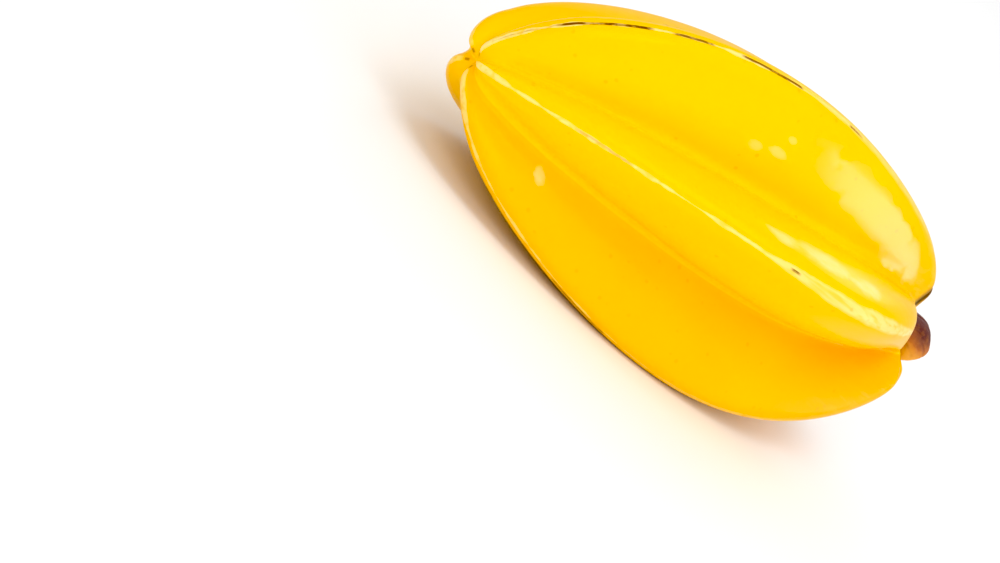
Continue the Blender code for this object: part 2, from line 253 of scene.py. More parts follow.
class FinishSettings(bpy.types.PropertyGroup):
    """Colours of the fruit's skin."""

    skin: tint("Skin", (0.98, 0.545, 0.002), "Ripe skin on the flanks")
    # Painted fill light: the skin is made lighter low on the flanks, towards the grooves, to lift
    # their shade.
    bright: tint("Bright Skin", (1.0, 0.66, 0.002), "Lighter skin low on the flanks")
    # Deep Skin serves both the more ripe stalk end and the painted shade on the lower ridges.
    deep: tint("Deep Skin", (0.96, 0.42, 0.002), "Riper skin, towards the stalk")
    # Painted shade: this colour darkens the bottoms of the grooves.
    groove: tint("Grooves", (0.92, 0.38, 0.004), "Skin at the bottom of the grooves")
    # Pale crest colour, also used for painted highlights on the crests and on some polished patches.
    seam: tint("Seam", (1.0, 0.78, 0.33), "Pale seam along the crests")
    bruise: tint("Bruise", (0.21, 0.085, 0.012), "Brown rubs and specks")
    scar: tint("Scars", (0.30, 0.13, 0.02), "Dots left by the flower's styles")
    pore: tint("Pores", (0.62, 0.30, 0.01), "Tiny specks scattered over the flanks")
    # Partly staining, partly painted shade inside the stalk hollow.
    stain_and_shade: tint("Stain", (0.115, 0.065, 0.010), "Dark skin inside the stalk hollow")
    roughness: plain("Roughness", 0.34, "Of the waxy skin")
    wax: plain("Wax", 0.12, "Strength of the wax where it is not polished")
    # Strength of the pale crests, which are partly painted highlights.
    paleness: plain("Pale Crests", 0.8, "Strength of the pale crests")


class StalkSettings(bpy.types.PropertyGroup):
    """Sizes and colours of the stalk's stub and the calyx."""

    length: metres("Length", 0.0067, "Length of the stub")
    radius: metres("Radius", 0.0046, "At the swelling below the cut end")
    foot_radius: metres("Foot Radius", 0.0034, "Inside the calyx")
    lean: degrees("Lean", 56, "How far the stub leans off the axis")
    side: degrees("Side", 283, "Side of the axis towards which it leans")
    # Bark by height: ochre below, red-brown at the side, dark on top; the dark top is partly painted
    # shade.
    wood: tint("Wood", (0.50, 0.145, 0.016), "Dry bark at the side")
    ochre: tint("Ochre", (0.90, 0.42, 0.030), "Fresher bark on the underside")
    shade: tint("Dark Bark", (0.11, 0.022, 0.016), "Shrunken bark on top")
    fibre: tint("Fibres", (0.55, 0.22, 0.05), "Paler fibres in the bark")
    cut: tint("Cut", (0.20, 0.105, 0.085), "Weathered cut end")
    calyx_reach: metres("Calyx Reach", 0.0049, "Sepal tips from the axis")
    calyx: tint("Calyx", (0.30, 0.11, 0.025), "Dry sepals")
    calyx_dark: tint("Dark Calyx", (0.14, 0.045, 0.018), "Darker grain of the sepals")
    vein: tint("Veins", (0.50, 0.26, 0.06), "Paler veins of the sepals")


class StageSettings(bpy.types.PropertyGroup):
    """Floor, light and camera."""

    floor_size: metres("Floor", 80.0, "Width of the floor")
    floor_colour: tint("Floor Colour", (0.90, 0.90, 0.90), "Pale floor")
    floor_grain: tint("Floor Grain", (0.86, 0.86, 0.86), "Faint grain of the floor")
    key_power: watts("Key Light", 5.1, "Power of the main soft light")
    top_power: watts("Top Light", 4.3, "Power of the soft light above")
    side_power: watts("Side Light", 0.19, "Power of the low window light")
    back_power: watts("Back Light", 0.26, "Power of the light behind")
    surround: plain("Surround", 0.73, "Strength of the light all round")
    black_point: plain("Black Point", 0.045, "Level that is shown as black")
    azimuth: degrees("Azimuth", -128.22, "Of the camera, from +X")
    elevation: degrees("Elevation", 16.44, "Of the camera")
    roll: degrees("Roll", 49.42, "Turn of the camera about its line of sight")
    distance: metres("Distance", 0.9483, "Camera to the point it aims at")
    lens: plain("Lens", 201.3, "Focal length in millimetres")
    aim: place_of("Aim", (-0.01518, 0.00228, -0.01190), "Point in the middle of the view")


# Shape of the fruit

def direction(angle):
    """Unit vector across the axis, at an angle from +Y towards +Z."""
    return np.array([0.0, math.cos(math.radians(angle)), math.sin(math.radians(angle))])


def stations(count, crowding=0.62):
    """Angles from pole to pole, closer together near the two ends."""
    share = np.linspace(0.0, 1.0, count)
    return math.pi * (share - crowding * np.sin(2 * math.pi * share) / (2 * math.pi))


def hollow(radius, depth, width, floor):
    """Depth of an end hollow at a distance from the axis."""
    return depth * np.exp(-((np.maximum(radius - floor, 0.0) / width) ** 2))


def centre_line(phi, s):
    """Middle of the fruit's section at each station."""
    tail = np.maximum(-np.cos(phi), 0.0) ** TAIL_POWER
    return (np.outer(np.sin(phi) ** 2, s.bow * direction(BOW_ANGLE))
            + np.outer(-np.sin(2 * phi) * np.sin(phi), s.sway * direction(SWAY_ANGLE))
            + np.outer(tail, s.tail * direction(TAIL_ANGLE)))


def plain_radius(phi, s):
    """Crest radius of a full ridge: about half an ellipse, fuller towards the stalk."""
    power = np.where(np.cos(phi) > 0, s.blossom_bluntness, s.stem_bluntness)
    return s.ridge_height * np.sin(phi) ** power * (1 - s.stem_fullness * np.cos(phi))


def crest_line(phi, ridge, s):
    """Crest of one ridge from the blossom pole to the stalk pole."""
    angle, height, lean, reach = ridge
    radius = plain_radius(phi, s)
    taper = np.minimum(radius / END_TAPER, 1.0)
    own = radius * (1 + (height - 1) * taper) * (1 + lean * np.cos(phi) * taper)
    along = -0.5 * s.length * np.cos(phi)
    along += hollow(own, s.blossom_hollow, BLOSSOM_HOLLOW_WIDTH, 0.0) * (np.cos(phi) > 0)
    stem_half = np.cos(phi) <= 0
    along -= hollow(own, s.stem_hollow, STEM_HOLLOW_WIDTH, STEM_HOLLOW_FLOOR) * stem_half
    along -= hollow(own, s.stem_well, STEM_WELL_WIDTH, STEM_WELL_FLOOR) * stem_half
    onset = np.clip((radius - SHOULDER_START) / (SHOULDER_FULL - SHOULDER_START), 0.0, 1.0)
    along += reach * np.clip(-np.cos(phi), 0.0, 1.0) * onset
    line = centre_line(phi, s) + np.outer(own, direction(angle))
    line[:, 0] += along
    return line


def groove_line(phi, groove, ridge, following, s):
    """Bottom of the groove between two neighbouring ridges."""
    depth, offset, rise = groove
    gap = (following[0] - ridge[0]) % 360
    radius = plain_radius(phi, s)
    fade = np.exp(-((radius / GROOVE_FADE) ** 2))
    own = radius * (depth + (1 - depth) * fade)
    end = np.abs(np.cos(phi))
    depth_here = np.where(np.cos(phi) > 0, s.blossom_hollow, s.stem_hollow + s.stem_well)
    line = centre_line(phi, s) + np.outer(own, direction(ridge[0] + 0.5 * gap + offset))
    drop = depth_here * end ** GROOVE_DROP
    line[:, 0] -= np.sign(np.cos(phi)) * (0.5 * s.length * end - drop)
    beside_stalk = np.exp(-(((own - RISE_RADIUS) / RISE_WIDTH) ** 2)) * (np.cos(phi) < 0)
    line[:, 0] += rise * beside_stalk
    return line


def flank_points(crest, groove, shares, bulge):
    """Points along a flank that swells a little between its crest and its groove."""
    across = groove - crest
    width = np.linalg.norm(across[:, 1:], axis=1)
    outward = np.stack([0 * width, -across[:, 2], across[:, 1]], axis=1)
    outward /= np.maximum(width, 1e-9)[:, None]
    outward *= np.sign(np.sum(outward * (crest + groove), axis=1))[:, None]
    swell = 4 * bulge * shares * (1 - shares) * width[:, None]
    return crest[:, None] + shares[..., None] * across[:, None] + swell[..., None] * outward[:, None]


def flank(crest, groove, steps, s):
    """A flank between its two rounded corners, and the handles of those corners."""
    width = np.maximum(np.linalg.norm(groove - crest, axis=1), 1e-6)
    first = np.minimum(s.crest_rounding / width, CREST_SHARE)
    last = 1 - np.minimum(s.groove_rounding / width, GROOVE_SHARE)
    shares = first[:, None] + (last - first)[:, None] * np.linspace(0.0, 1.0, steps + 1)[None, :]
    points = flank_points(crest, groove, shares, s.flank_bulge)
    nudge = 0.01
    beyond = flank_points(crest, groove, np.stack([first - nudge, last + nudge], axis=1),
                          s.flank_bulge)
    crest_reach = (first * 2 / 3 / nudge)[:, None]
    groove_reach = ((1 - last) * 2 / 3 / nudge)[:, None]
    crest_handle = points[:, 0] + (beyond[:, 0] - points[:, 0]) * crest_reach
    groove_handle = points[:, -1] + (beyond[:, 1] - points[:, -1]) * groove_reach
    return points, crest_handle, groove_handle


def bend(start, start_handle, end_handle, end, steps):
    """Cubic curve that rounds a corner, without its two ends."""
    t = (np.arange(1, steps) / steps)[None, :, None]
    return ((1 - t) ** 3 * start[:, None] + 3 * t * (1 - t) ** 2 * start_handle[:, None]
            + 3 * t ** 2 * (1 - t) * end_handle[:, None] + t ** 3 * end[:, None])


def lifted(crest, groove_before, groove_after, s):
    """Corner of a ridge, moved out until its rounded crest lies on the crest line."""
    corner = crest
    for _ in range(3):
        left = flank(corner, groove_before, 1, s)
        right = flank(corner, groove_after, 1, s)
        rounded = 0.125 * (left[0][:, 0] + right[0][:, 0]) + 0.375 * (left[1] + right[1])
        corner = corner + (crest - rounded)
    return corner


def skin_grid(s):
    """Grid of skin points, ring by ring, and the column of each crest."""
    phi = stations(s.rings)[1:-1]
    count = len(RIDGES)
    grooves = [groove_line(phi, GROOVES[i], RIDGES[i], RIDGES[(i + 1) % count], s)
               for i in range(count)]
    corners = [lifted(crest_line(phi, RIDGES[i], s), grooves[i - 1], grooves[i], s)
               for i in range(count)]
    around = []
    crests = []
    columns = 0
    for i in range(count):
        left = flank(corners[i], grooves[i - 1], FLANK_STEPS, s)
        right = flank(corners[i], grooves[i], FLANK_STEPS, s)
        following = flank(corners[(i + 1) % count], grooves[i], FLANK_STEPS, s)
        parts = (left[0][:, ::-1],
                 bend(left[0][:, 0], left[1], right[1], right[0][:, 0], CREST_STEPS),
                 right[0],
                 bend(right[0][:, -1], right[2], following[2], following[0][:, -1], GROOVE_STEPS))
        crests.append(columns + FLANK_STEPS + CREST_STEPS // 2)
        columns += sum(part.shape[1] for part in parts)
        around.extend(parts)
    return phi, np.concatenate(around, axis=1), crests


def outward(grid):
    """Normals of a grid whose columns close into a ring."""
    along = np.gradient(grid, axis=0)
    across = np.roll(grid, -1, axis=1) - np.roll(grid, 1, axis=1)
    normal = np.cross(across, along)
    normal /= np.maximum(np.linalg.norm(normal, axis=2), 1e-12)[..., None]
    middle = grid.mean(axis=1, keepdims=True)
    if np.sum(normal * (grid - middle)) < 0:
        normal = -normal
    return normal


def distances(grid, crests):
    """How far each skin point lies from its ridge's crest, which side it lies on, and
    the number of its ridge."""
    step = np.linalg.norm(np.roll(grid, -1, axis=1) - grid, axis=2)
    walked = np.concatenate([np.zeros((len(grid), 1)), np.cumsum(step, axis=1)], axis=1)
    whole = walked[:, -1:]
    walked = walked[:, :-1]
    offsets = np.stack([(walked - walked[:, [column]] + 0.5 * whole) % whole - 0.5 * whole
                        for column in crests])
    columns = np.arange(grid.shape[1])
    owner = np.empty(grid.shape[1], int)
    half = GROOVE_STEPS // 2
    edges = [column + CREST_STEPS // 2 + FLANK_STEPS + half for column in crests]
    for column in columns:
        later = [i for i, edge in enumerate(edges) if column <= edge]
        owner[column] = later[0] if later else 0
    rows = np.arange(len(grid))[:, None]
    signed = offsets[owner[None, :], rows, columns[None, :]]
    return np.abs(signed), np.sign(signed), np.broadcast_to(owner.astype(float), signed.shape)


def rough_field(points, size, seed):
    """Smooth noise from about -1 to 1 at each point, with features of a given size."""
    shift = Vector((seed * 7.31, seed * 3.17, seed * 5.77))
    flat = points.reshape(-1, 3) / size
    values = [noise.noise(Vector(point) + shift) for point in flat]
    return np.array(values).reshape(points.shape[:-1])


def dented(grid, from_crest, s):
    """Presses soft dents into the flanks and leaves the crests as they are."""
    flank_part = 1 - np.exp(-((from_crest / 0.006) ** 2))
    wide = 0.5 + 0.5 * rough_field(grid, s.dent_size, 3)
    small = 0.5 + 0.5 * rough_field(grid, 0.4 * s.dent_size, 5)
    depth = s.dents * (wide + 0.25 * small) * flank_part + SKIN_INSET
    return grid - outward(grid) * depth[..., None]


def well_bottom(s):
    """Middle of the bottom of the well that holds the stalk."""
    middle = np.array([0.5 * s.length - s.stem_hollow - s.stem_well, 0.0, 0.0])
    return middle + s.tail * direction(TAIL_ANGLE)


def hollow_wall(grid, s):
    """1 on the skin that faces the stalk, fading to 0 away from it; the dark hollow colour goes
    here, partly staining and partly painted shade.
    """
    away = grid - well_bottom(s)
    distance = np.linalg.norm(away, axis=2)
    sideways = away * np.array([0.0, 1.0, 1.0])
    sideways /= np.maximum(np.linalg.norm(sideways, axis=2), 1e-9)[..., None]
    facing = -np.sum(outward(grid) * sideways, axis=2)
    near = np.clip((0.0115 - distance) / 0.0045, 0.0, 1.0)
    return near * np.clip(2.5 * facing + 0.35, 0.0, 1.0)


# Meshes

def placed(points, matrix):
    """Points of any grid, moved by a matrix."""
    m = np.array(matrix)
    return points @ m[:3, :3].T + m[:3, 3]


def lying(s):
    """Turns the fruit from its own axis to the way it lies."""
    return Matrix.Rotation(s.pitch, 4, 'Y') @ Matrix.Rotation(s.roll, 4, 'X')


def closed_mesh(name, grid, first, last):
    """Mesh through a grid of rings, drawn to a point at each end."""
    rings, columns = grid.shape[:2]
    points = np.concatenate([grid.reshape(-1, 3), [first, last]])
    index = np.arange(rings * columns).reshape(rings, columns)
    following = np.roll(index, -1, axis=1)
    quads = np.stack([index[:-1], following[:-1], following[1:], index[1:]], axis=-1)
    start, finish = rings * columns, rings * columns + 1
    near = np.stack([np.full(columns, start), following[0], index[0]], axis=-1)
    far = np.stack([np.full(columns, finish), index[-1], following[-1]], axis=-1)
    faces = quads.reshape(-1, 4).tolist() + near.tolist() + far.tolist()
    mesh = bpy.data.meshes.new(name)
    mesh.from_pydata(points.tolist(), [], faces)
    mesh.shade_smooth()
    return mesh


def add_values(mesh, name, values):
    """Stores one number for each vertex."""
    layer = mesh.attributes.new(name, 'FLOAT', 'POINT')
    layer.data.foreach_set("value", np.asarray(values, dtype=np.float32).ravel())


def face_outward(mesh):
    """Turns the faces the right way round if the form is inside out."""
    mesh.calc_loop_triangles()
    points = np.array([v.co[:] for v in mesh.vertices])
    corners = np.array([t.vertices[:] for t in mesh.loop_triangles])
    a, b, c = points[corners[:, 0]], points[corners[:, 1]], points[corners[:, 2]]
    volume = np.sum(a * np.cross(b, c)) / 6
    if volume < 0:
        mesh.flip_normals()


def add_piece(name, mesh, material, node):
    """Puts a finished piece into the scene, in the place of its solid."""
    face_outward(mesh)
    mesh.materials.append(material)
    piece = bpy.data.objects.new(name, mesh)
    bpy.context.scene.collection.objects.link(piece)
    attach(piece, "root")
    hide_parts(node)


# Materials

class Wave:
    """A socket of a material that can be used in sums."""

    def __init__(self, graph, socket):
        self.graph = graph
        self.socket = socket

    def _math(self, operation, first, second=None, clamp=False):
        values = {0: first} if second is None else {0: first, 1: second}
        return self.graph.node("ShaderNodeMath", {"operation": operation, "use_clamp": clamp},
                               values)

    def __add__(self, other):
        return self._math('ADD', self, other)

    __radd__ = __add__

    def __sub__(self, other):
        return self._math('SUBTRACT', self, other)

    def __rsub__(self, other):
        return self._math('SUBTRACT', other, self)

    def __mul__(self, other):
        return self._math('MULTIPLY', self, other)

    __rmul__ = __mul__

    def __truediv__(self, other):
        return self._math('DIVIDE', self, other)

    def __rtruediv__(self, other):
        return self._math('DIVIDE', other, self)

    def __pow__(self, other):
        return self._math('POWER', self, other)

    def __abs__(self):
        return self._math('ABSOLUTE', self)

    def kept(self):
        """Held between 0 and 1."""
        return self._math('ADD', self, 0.0, clamp=True)

    def below(self, edge, soft):
        """1 well below an edge and 0 well above it, with a soft step between."""
        return ((edge - self) / soft + 0.5).kept()

    def above(self, edge, soft):
        """0 well below an edge and 1 well above it."""
        return ((self - edge) / soft + 0.5).kept()

    def between(self, low, high, soft):
        """1 between two edges."""
        return self.above(low, soft) * self.below(high, soft)


class Graph:
    """Adds nodes to a new material."""

    def __init__(self, name):
        self.material = bpy.data.materials.new(name)
        self.material.use_nodes = True
        self.tree = self.material.node_tree
        self.shader = self.tree.nodes["Principled BSDF"]

    def node(self, kind, settings=None, values=None, output=0):
        """Adds a node: settings first, then the values or links of its sockets."""
        made = self.tree.nodes.new(kind)
        for key, value in (settings or {}).items():
            setattr(made, key, value)
        for key, value in (values or {}).items():
            self.feed(made.inputs[key], value)
        return Wave(self, made.outputs[output])

    def feed(self, socket, value):
        """Links a socket or sets its value."""
        if isinstance(value, Wave):
            self.tree.links.new(value.socket, socket)
        elif hasattr(socket.default_value, "__len__") and len(value) == 3 \
                and len(socket.default_value) == 4:
            socket.default_value = (*value, 1.0)
        else:
            socket.default_value = value

    def value(self, name):
        """A number stored on the mesh."""
        return self.node("ShaderNodeAttribute", {"attribute_name": name}, output="Fac")

    def place(self):
        """Position on the piece, in metres."""
        return self.node("ShaderNodeTexCoord", output="Object")

    def height(self, place):
        """Height of a place above the floor."""
        return self.node("ShaderNodeSeparateXYZ", None, {"Vector": place}, output="Z")

    def stretched(self, place, scale):
        """A place scaled along each axis."""
        return self.node("ShaderNodeVectorMath", {"operation": 'MULTIPLY'}, {0: place, 1: scale})

    def noise(self, place, scale, detail=2.0, roughness=0.5):
        """Noise from 0 to 1 with so many features a metre."""
        return self.node("ShaderNodeTexNoise", {"noise_dimensions": '3D'},
                         {"Vector": place, "Scale": scale, "Detail": detail,
                          "Roughness": roughness})

    def spots(self, place, scale, randomness=1.0):
        """Distance to the nearest of scattered points, in cells."""
        return self.node("ShaderNodeTexVoronoi", {"feature": 'F1'},
                         {"Vector": place, "Scale": scale, "Randomness": randomness})

    def mix(self, share, first, second):
        """Colour between two colours."""
        return self.node("ShaderNodeMix", {"data_type": 'RGBA'},
                         {0: share, 6: first, 7: second}, output=2)

    def bump(self, height, distance, strength=1.0):
        """Normal of a surface with relief of a height in shares of a distance."""
        return self.node("ShaderNodeBump", None,
                         {"Height": height, "Distance": distance, "Strength": strength})

    def set(self, **sockets):
        """Sets or links the shader's own sockets, named with underscores for spaces."""
        for key, value in sockets.items():
            self.feed(self.shader.inputs[key.replace("_", " ")], value)


def on_ridge(ridge, number):
    """1 on one ridge and 0 on the others."""
    return (1 - abs(ridge - number) * 2).kept()


def flank_colour(g, f, skin):
    """Yellow flanks, more ripe towards the stalk, with painted light and shade: lighter low down
    towards the grooves as painted fill light, deeper on the lower ridges and darker at the groove
    bottoms as painted shade.
    """
    ripeness_and_shade = 0.75 * skin.along.above(0.82, 0.34) + 0.35 * (skin.patches - 0.5)
    # Painted shade: each ridge gets a deeper colour by its own share, strongest on the lower ridges.
    for number, (ridge_shade, _, _) in enumerate(RIDGE_TONES):
        ripeness_and_shade = ripeness_and_shade + on_ridge(skin.ridge, number) * ridge_shade
    # Painted fill light: the skin turns lighter towards the grooves.
    light = (1.15 * skin.depth + 0.5 * (skin.patches - 0.5)).kept()
    colour = g.mix(light, tuple(f.skin), tuple(f.bright))
    colour = g.mix(ripeness_and_shade.kept(), colour, tuple(f.deep))
    # Painted shade: a dark line along the bottoms of the grooves.
    return g.mix(0.5 * skin.depth ** 8.0, colour, tuple(f.groove))


def pale_crests_and_glints(f, skin):
    """Share of pale crest colour along the crests, wider in the stalk half; the wide shoulders near
    the blossom end and in the stalk half are painted highlights as well as the crests' own pale
    colour.
    """
    at_blossom, at_stem = 0.0, 0.0
    for number, (_, blossom, stem) in enumerate(RIDGE_TONES):
        here = on_ridge(skin.ridge, number)
        at_blossom = at_blossom + here * blossom
        at_stem = at_stem + here * stem
    along = skin.along
    stem_half = along.between(0.50, 0.86, 0.14)
    breadth = (0.00022 + 0.0001 * along.below(0.09, 0.16) + 0.0003 * along.below(0.030, 0.030)
               + 0.0014 * stem_half * at_stem + 0.0012 * (skin.ragged - 0.5))
    shoulder = skin.from_crest.below(breadth, 0.0003 + 0.0003 * stem_half)
    shoulder = shoulder * skin.from_pole.above(0.0026, 0.0010)
    streaked = 0.35 + 0.65 * skin.streaks.above(0.42, 0.2)
    strength = at_blossom + along.above(0.40, 0.16) * (at_stem - at_blossom)
    pale = (f.paleness * strength * shoulder * streaked).kept()
    fine_lines = skin.streaks.above(0.55, 0.1) * along.above(0.86, 0.2) * 0.07
    return pale + (1 - pale) * fine_lines


def rubbed_crests(skin):
    """Broken brown lines where the crests are rubbed."""
    wander = (skin.ragged - 0.5) * 0.0006
    broken = 0.50 + 0.50 * (skin.fine * 0.7 + skin.ragged * 0.7).above(0.64, 0.22)
    brown = 0.0
    for number, start, end, offset, width, strength in BRUISED_CRESTS:
        line = abs(skin.signed - offset + wander).below(width * 0.5, 0.00014)
        stretch = skin.along.between(start, end, 0.008)
        brown = brown + on_ridge(skin.ridge, number) * line * stretch * broken * strength
    return brown.kept()


def hollow_stain_and_shade(skin):
    """Dark staining and painted shade in the stalk hollow, and a stronger dark edge on the top and
    front ridges beside the stalk, also partly staining and partly painted shade.
    """
    wall = (skin.stained + 0.5 * (skin.ragged - 0.5)).above(0.5, 0.5)
    wall = wall * skin.stained.above(0.05, 0.1)
    frayed = skin.along + 0.016 * (skin.ragged - 0.5)
    top = on_ridge(skin.ridge, TOP) * frayed.between(0.936, 0.964, 0.022)
    front = on_ridge(skin.ridge, FRONT) * frayed.between(0.930, 0.964, 0.016)
    edge = top * skin.signed.above(0.0006, 0.0012) + front * skin.signed.below(-0.0098, 0.0016)
    return (0.4 * wall + edge).kept()


def polished_patch(skin, number, middle, offset, half_length, half_width, softness):
    """1 inside one ragged patch on a ridge."""
    lengthwise = (skin.along - middle) / half_length
    crosswise = (skin.signed - offset) / half_width
    edge = skin.ragged if half_length > LONG_PATCH else skin.crumpled
    reach = lengthwise * lengthwise + crosswise * crosswise + 3.4 * (edge - 0.5)
    return on_ridge(skin.ridge, number) * reach.below(1.0, softness)


class Skin:
    """What varies over the skin: numbers stored on the mesh, and noise."""

    def __init__(self, g):
        place = g.place()
        self.place = place
        self.along = g.value("along")
        self.from_crest = g.value("from_crest")
        self.signed = self.from_crest * g.value("side")
        self.depth = g.value("depth")
        self.ridge = g.value("ridge")
        self.from_pole = g.value("from_pole")
        self.stained = g.value("stained")
        self.patches = g.noise(place, 55.0, 2.0)
        self.ragged = g.noise(place, 210.0, 3.0)
        self.crumpled = g.noise(g.stretched(place, (330.0, 640.0, 640.0)), 1.0, 4.0)
        self.fine = g.noise(place, 900.0, 2.0)
        self.streaks = g.noise(g.stretched(place, (90.0, 900.0, 900.0)), 1.0, 2.0)


def skin_material(f):
    """Waxy ripe skin: yellow flanks, darker grooves as painted shade, pale seams that are partly
    painted highlights, brown rubs, and dark staining with painted shade in the stalk hollow.
    """
    g = Graph("waxy_skin")
    skin = Skin(g)
    brown = rubbed_crests(skin)
    stain_and_shade = hollow_stain_and_shade(skin)
    scars = skin.from_pole.between(0.0013, 0.0021, 0.0003) * skin.from_crest.below(0.0003, 0.0003)
    pores = g.spots(skin.place, 420.0).below(0.16, 0.1)
    pores = pores * g.noise(skin.place, 200.0).above(0.56, 0.05)
    colour = flank_colour(g, f, skin)
    # Pale crests with painted highlights, brown rubs, style scars, dark staining with painted shade
    # in the stalk hollow, and pores.
    for share, over in ((pale_crests_and_glints(f, skin), f.seam), (brown, f.bruise), (0.75 * scars, f.scar),
                        (stain_and_shade, f.stain_and_shade), (0.25 * pores, f.pore)):
        colour = g.mix(share, colour, tuple(over))
    shine = f.wax
    for number, middle, offset, length, width, strength, painted_glint, softness in POLISHED_PATCHES:
        patch = polished_patch(skin, number, middle, offset, length, width, softness)
        shine = shine + patch * (strength - f.wax)
        # Painted highlight: some patches also lighten the skin's colour.
        if painted_glint:
            colour = g.mix(patch * painted_glint, colour, tuple(f.seam))
    relief = 0.5 * g.noise(skin.place, 600.0, 1.0) + 0.5 * skin.streaks
    uneven = 0.10 * (g.noise(skin.place, 120.0) - 0.5)
    g.set(Base_Color=colour, Roughness=f.roughness + uneven + 0.3 * brown,
          Coat_Weight=(shine * (1 - brown) * (1 - stain_and_shade)).kept(),
          Normal=g.bump(relief, 0.00004, 0.6))
    g.set(Subsurface_Weight=0.35, Subsurface_Radius=(0.0060, 0.0032, 0.0006),
          Subsurface_Scale=1.0, Coat_Roughness=0.18, Coat_IOR=1.5, IOR=1.4,
          Specular_IOR_Level=0.08)
    return g.material


def bark_material(s):
    """Dry stalk: dark maroon on top, red-brown at the side, ochre below, a greyish cut; the
    darkening towards the top is partly bark colour and partly painted shade, and the dark furrows
    are painted shade.
    """
    g = Graph("dry_stalk")
    place = g.place()
    low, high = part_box("stem_stub")
    up = (g.height(place) - low[2]) / (high[2] - low[2])
    face = g.value("face")
    furrows = g.value("furrow")
    grain = g.noise(place, 900.0, 4.0, 0.6)
    broad = g.noise(place, 320.0, 2.0)
    # Painted shade: the bark darkens towards the top.
    shade_by_height = up + 0.35 * (broad - 0.5)
    colour = g.mix(shade_by_height.above(0.40, 0.36), tuple(s.ochre), tuple(s.wood))
    colour = g.mix(shade_by_height.above(0.70, 0.34), colour, tuple(s.shade))
    colour = g.mix(grain.above(0.60, 0.2) * 0.30, colour, tuple(s.fibre))
    # Painted shade in the furrows.
    colour = g.mix(furrows * 0.6, colour, tuple(s.shade))
    colour = g.mix(face * (0.45 + 0.4 * grain), colour, tuple(s.cut))
    g.set(Base_Color=colour, Roughness=0.42 + 0.3 * grain,
          Normal=g.bump(grain - 0.6 * furrows, 0.00016, 0.8))
    g.set(Subsurface_Weight=0.05, Subsurface_Radius=(0.002, 0.001, 0.0005), Subsurface_Scale=1.0)
    return g.material


def calyx_material(s):
    """Dry sepals: leathery brown with paler veins."""
    g = Graph("dry_calyx")
    place = g.place()
    grain = g.noise(place, 900.0, 3.0)
    veins = g.value("vein")
    colour = g.mix(grain.above(0.5, 0.4), tuple(s.calyx), tuple(s.calyx_dark))
    colour = g.mix(veins * 0.5, colour, tuple(s.vein))
    g.set(Base_Color=colour, Roughness=0.5 + 0.25 * grain,
          Normal=g.bump(grain + veins, 0.00012, 0.7))
    return g.material


def floor_material(p):
    """Matt floor with a very faint grain."""
    g = Graph("studio_floor")
    grain = g.noise(g.place(), 3.0, 2.0)
    g.set(Base_Color=g.mix(grain * 0.02, tuple(p.floor_colour), tuple(p.floor_grain)),
          Roughness=0.9 + 0.02 * grain)
    g.set(Specular_IOR_Level=0.1)
    return g.material


# Operators

def fruit_place(s):
    """Where the fruit lies: the same turn as its solid, and inside the solid's box."""
    _, grid, _ = skin_grid(s)
    turned = placed(grid, lying(s)).reshape(-1, 3)
    low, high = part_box("fruit")
    shift = [0.5 * (low[axis] + high[axis] - turned[:, axis].min() - turned[:, axis].max())
             for axis in range(2)]
    shift.append(high[2] - turned[:, 2].max())
    return Matrix.Translation(shift) @ lying(s)


class STARFRUIT_OT_fruit(bpy.types.Operator):
    """Makes the fruit: five ridges, dents, pale seams that are partly painted highlights, and a waxy
    skin
    """

    bl_idname = "starfruit.fruit"
    bl_label = "Fruit"

    def execute(self, context):
        s = context.scene.star_fruit
        phi, grid, crests = skin_grid(s)
        from_crest, side, ridge = distances(grid, crests)
        widest = from_crest.max(axis=1, keepdims=True)
        along = np.broadcast_to(0.5 - 0.5 * np.cos(phi)[:, None], from_crest.shape)
        stained = hollow_wall(grid, s)
        grid = dented(grid, from_crest, s)
        first = np.array([-0.5 * s.length + s.blossom_hollow + SKIN_INSET, 0.0, 0.0])
        last = well_bottom(s) - np.array([SKIN_INSET, 0.0, 0.0])
        from_pole = np.linalg.norm(grid - first, axis=2)
        where = fruit_place(s)
        grid = placed(grid, where)
        grid[..., 2] = np.maximum(grid[..., 2], 0.0)
        mesh = closed_mesh("fruit_skin", grid, placed(first, where), placed(last, where))
        for name, values, ends in (("along", along, (0.0, 1.0)),
                                   ("from_crest", from_crest, (0.01, 0.01)),
                                   ("side", side, (0.0, 0.0)),
                                   ("ridge", ridge, (9.0, 9.0)),
                                   ("from_pole", from_pole, (0.0, 0.1)),
                                   ("stained", stained, (0.0, 1.0)),
                                   ("depth", from_crest / widest, (1.0, 1.0))):
            add_values(mesh, name, np.concatenate([values.ravel(), ends]))
        add_piece("fruit_skin", mesh, skin_material(context.scene.star_fruit_finish),
                  "fruit")
        return {'FINISHED'}


def stub_middle(along, t):
    """Centre of the stub at a distance along it, and how far it leans there."""
    radius = STUB_BEND / t.lean
    beyond = max(along - STUB_COLLAR, 0.0)
    bent = min(beyond / STUB_BEND, 1.0) * t.lean
    straight = max(beyond - STUB_BEND, 0.0)
    up = min(along, STUB_COLLAR) + radius * math.sin(bent) + straight * math.cos(t.lean)
    aside = radius * (1 - math.cos(bent)) + straight * math.sin(t.lean)
    return np.array([up, aside, 0.0]), bent


def seat(s, angle):
    """Frame of the stalk's seat as the fruit lies, +X up the stalk."""
    foot = well_bottom(s) + SEAT_SHIFT * direction(SEAT_SHIFT_ANGLE)
    foot = Matrix.Translation(Vector(foot) + Vector((GAP, 0, 0)))
    return fruit_place(s) @ foot @ Matrix.Rotation(angle, 4, 'X')


